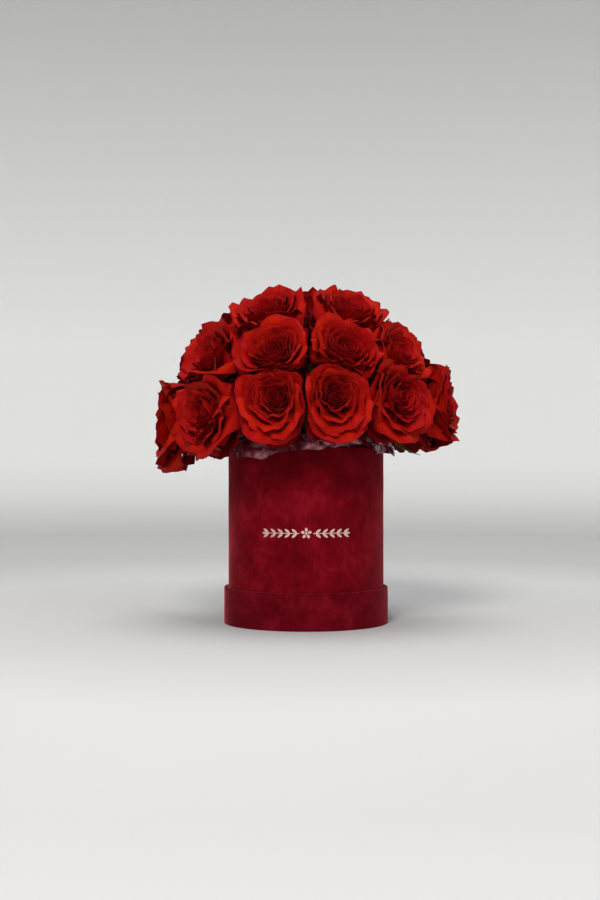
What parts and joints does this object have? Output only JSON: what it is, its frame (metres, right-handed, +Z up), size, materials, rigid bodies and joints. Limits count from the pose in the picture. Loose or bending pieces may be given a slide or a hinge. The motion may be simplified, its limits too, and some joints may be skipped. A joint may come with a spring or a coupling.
{
  "type": "flower box",
  "caption": "Round velvet hat box standing in its upturned lid, holding a film-wrapped foam insert with a dome of red rose heads.",
  "frame": {"origin": "middle of the foot's underside, on the surface the box stands on", "axes": "+Z up along the box's axis; the front, with the foil ornament, faces -Y; +X is to the right seen from the front"},
  "size_m": [0.2825, 0.2705, 0.3272],
  "materials": {
    "velvet": "matte",
    "board": "matte",
    "lining": "matte",
    "foil": "satin",
    "film": "satin",
    "foam": "matte",
    "petal": "satin",
    "green": "satin"
  },
  "bodies": {
    "stand": {"lid_velvet_base": "velvet", "lid_velvet_side": "velvet", "lid_board": "board"},
    "box": {"box_floor": "board", "box_wall": "board", "box_velvet": "velvet", "box_lining": "lining", "foil_ornament": "foil"},
    "arrangement": {"film_liner": "film", "foam_block": "foam"},
    "rose_01": {"rose_01_bloom": "petal", "rose_01_stem": "green"},
    "rose_02": {"rose_02_bloom": "petal", "rose_02_stem": "green"},
    "rose_03": {"rose_03_bloom": "petal", "rose_03_stem": "green"},
    "rose_04": {"rose_04_bloom": "petal", "rose_04_stem": "green"},
    "rose_05": {"rose_05_bloom": "petal", "rose_05_stem": "green"},
    "rose_06": {"rose_06_bloom": "petal", "rose_06_stem": "green"},
    "rose_07": {"rose_07_bloom": "petal", "rose_07_stem": "green"},
    "rose_08": {"rose_08_bloom": "petal", "rose_08_stem": "green"},
    "rose_09": {"rose_09_bloom": "petal", "rose_09_stem": "green"},
    "rose_10": {"rose_10_bloom": "petal", "rose_10_stem": "green"},
    "rose_11": {"rose_11_bloom": "petal", "rose_11_stem": "green"},
    "rose_12": {"rose_12_bloom": "petal", "rose_12_stem": "green"},
    "rose_13": {"rose_13_bloom": "petal", "rose_13_stem": "green"},
    "rose_14": {"rose_14_bloom": "petal", "rose_14_stem": "green"},
    "rose_15": {"rose_15_bloom": "petal", "rose_15_stem": "green"},
    "rose_16": {"rose_16_bloom": "petal", "rose_16_stem": "green"},
    "rose_17": {"rose_17_bloom": "petal", "rose_17_stem": "green"},
    "rose_18": {"rose_18_bloom": "petal", "rose_18_stem": "green"},
    "rose_19": {"rose_19_bloom": "petal", "rose_19_stem": "green"},
    "rose_20": {"rose_20_bloom": "petal", "rose_20_stem": "green"},
    "rose_21": {"rose_21_bloom": "petal", "rose_21_stem": "green"},
    "rose_22": {"rose_22_bloom": "petal", "rose_22_stem": "green"},
    "rose_23": {"rose_23_bloom": "petal", "rose_23_stem": "green"},
    "rose_24": {"rose_24_bloom": "petal", "rose_24_stem": "green"},
    "rose_25": {"rose_25_bloom": "petal", "rose_25_stem": "green"}
  },
  "joints": [
    {"name": "box_lift", "type": "slide", "parent": "stand", "child": "box", "axis": [0, 0, 1], "range_m": [0, 0.045]},
    {"name": "arrangement_lift", "type": "slide", "parent": "box", "child": "arrangement", "axis": [0, 0, 1], "range_m": [0, 0.17]},
    {"name": "rose_01_pull", "type": "slide", "parent": "arrangement", "child": "rose_01", "axis": [-0.998, -0.0523, 0.0349], "range_m": [0, 0.055]},
    {"name": "rose_02_pull", "type": "slide", "parent": "arrangement", "child": "rose_02", "axis": [-0.7753, -0.6278, 0.0698], "range_m": [0, 0.055]},
    {"name": "rose_03_pull", "type": "slide", "parent": "arrangement", "child": "rose_03", "axis": [-0.2382, -0.9556, 0.1736], "range_m": [0, 0.055]},
    {"name": "rose_04_pull", "type": "slide", "parent": "arrangement", "child": "rose_04", "axis": [0.2208, -0.9565, 0.1908], "range_m": [0, 0.055]},
    {"name": "rose_05_pull", "type": "slide", "parent": "arrangement", "child": "rose_05", "axis": [0.6941, -0.6941, 0.1908], "range_m": [0, 0.055]},
    {"name": "rose_06_pull", "type": "slide", "parent": "arrangement", "child": "rose_06", "axis": [0.9695, -0.1885, 0.1564], "range_m": [0, 0.055]},
    {"name": "rose_07_pull", "type": "slide", "parent": "arrangement", "child": "rose_07", "axis": [0.8764, 0.466, 0.1219], "range_m": [0, 0.055]},
    {"name": "rose_08_pull", "type": "slide", "parent": "arrangement", "child": "rose_08", "axis": [0.3859, 0.9092, 0.1564], "range_m": [0, 0.055]},
    {"name": "rose_09_pull", "type": "slide", "parent": "arrangement", "child": "rose_09", "axis": [-0.2741, 0.956, 0.1045], "range_m": [0, 0.055]},
    {"name": "rose_10_pull", "type": "slide", "parent": "arrangement", "child": "rose_10", "axis": [-0.8112, 0.568, 0.1392], "range_m": [0, 0.055]},
    {"name": "rose_11_pull", "type": "slide", "parent": "arrangement", "child": "rose_11", "axis": [-0.7263, -0.4717, 0.5], "range_m": [0, 0.055]},
    {"name": "rose_12_pull", "type": "slide", "parent": "arrangement", "child": "rose_12", "axis": [-0.2363, -0.824, 0.515], "range_m": [0, 0.055]},
    {"name": "rose_13_pull", "type": "slide", "parent": "arrangement", "child": "rose_13", "axis": [0.3039, -0.7917, 0.5299], "range_m": [0, 0.055]},
    {"name": "rose_14_pull", "type": "slide", "parent": "arrangement", "child": "rose_14", "axis": [0.6935, -0.5038, 0.515], "range_m": [0, 0.055]},
    {"name": "rose_15_pull", "type": "slide", "parent": "arrangement", "child": "rose_15", "axis": [0.8434, 0.0886, 0.5299], "range_m": [0, 0.055]},
    {"name": "rose_16_pull", "type": "slide", "parent": "arrangement", "child": "rose_16", "axis": [0.5965, 0.6397, 0.4848], "range_m": [0, 0.055]},
    {"name": "rose_17_pull", "type": "slide", "parent": "arrangement", "child": "rose_17", "axis": [0.0148, 0.8479, 0.5299], "range_m": [0, 0.055]},
    {"name": "rose_18_pull", "type": "slide", "parent": "arrangement", "child": "rose_18", "axis": [-0.5567, 0.6634, 0.5], "range_m": [0, 0.055]},
    {"name": "rose_19_pull", "type": "slide", "parent": "arrangement", "child": "rose_19", "axis": [-0.8488, 0.1193, 0.515], "range_m": [0, 0.055]},
    {"name": "rose_20_pull", "type": "slide", "parent": "arrangement", "child": "rose_20", "axis": [-0.2963, -0.4742, 0.829], "range_m": [0, 0.055]},
    {"name": "rose_21_pull", "type": "slide", "parent": "arrangement", "child": "rose_21", "axis": [0.3353, -0.4292, 0.8387], "range_m": [0, 0.055]},
    {"name": "rose_22_pull", "type": "slide", "parent": "arrangement", "child": "rose_22", "axis": [0.5118, 0.1863, 0.8387], "range_m": [0, 0.055]},
    {"name": "rose_23_pull", "type": "slide", "parent": "arrangement", "child": "rose_23", "axis": [-0.02, 0.5732, 0.8192], "range_m": [0, 0.055]},
    {"name": "rose_24_pull", "type": "slide", "parent": "arrangement", "child": "rose_24", "axis": [-0.5261, 0.141, 0.8387], "range_m": [0, 0.055]},
    {"name": "rose_25_pull", "type": "slide", "parent": "arrangement", "child": "rose_25", "axis": [0, 0, 1], "range_m": [0, 0.055]}
  ]
}
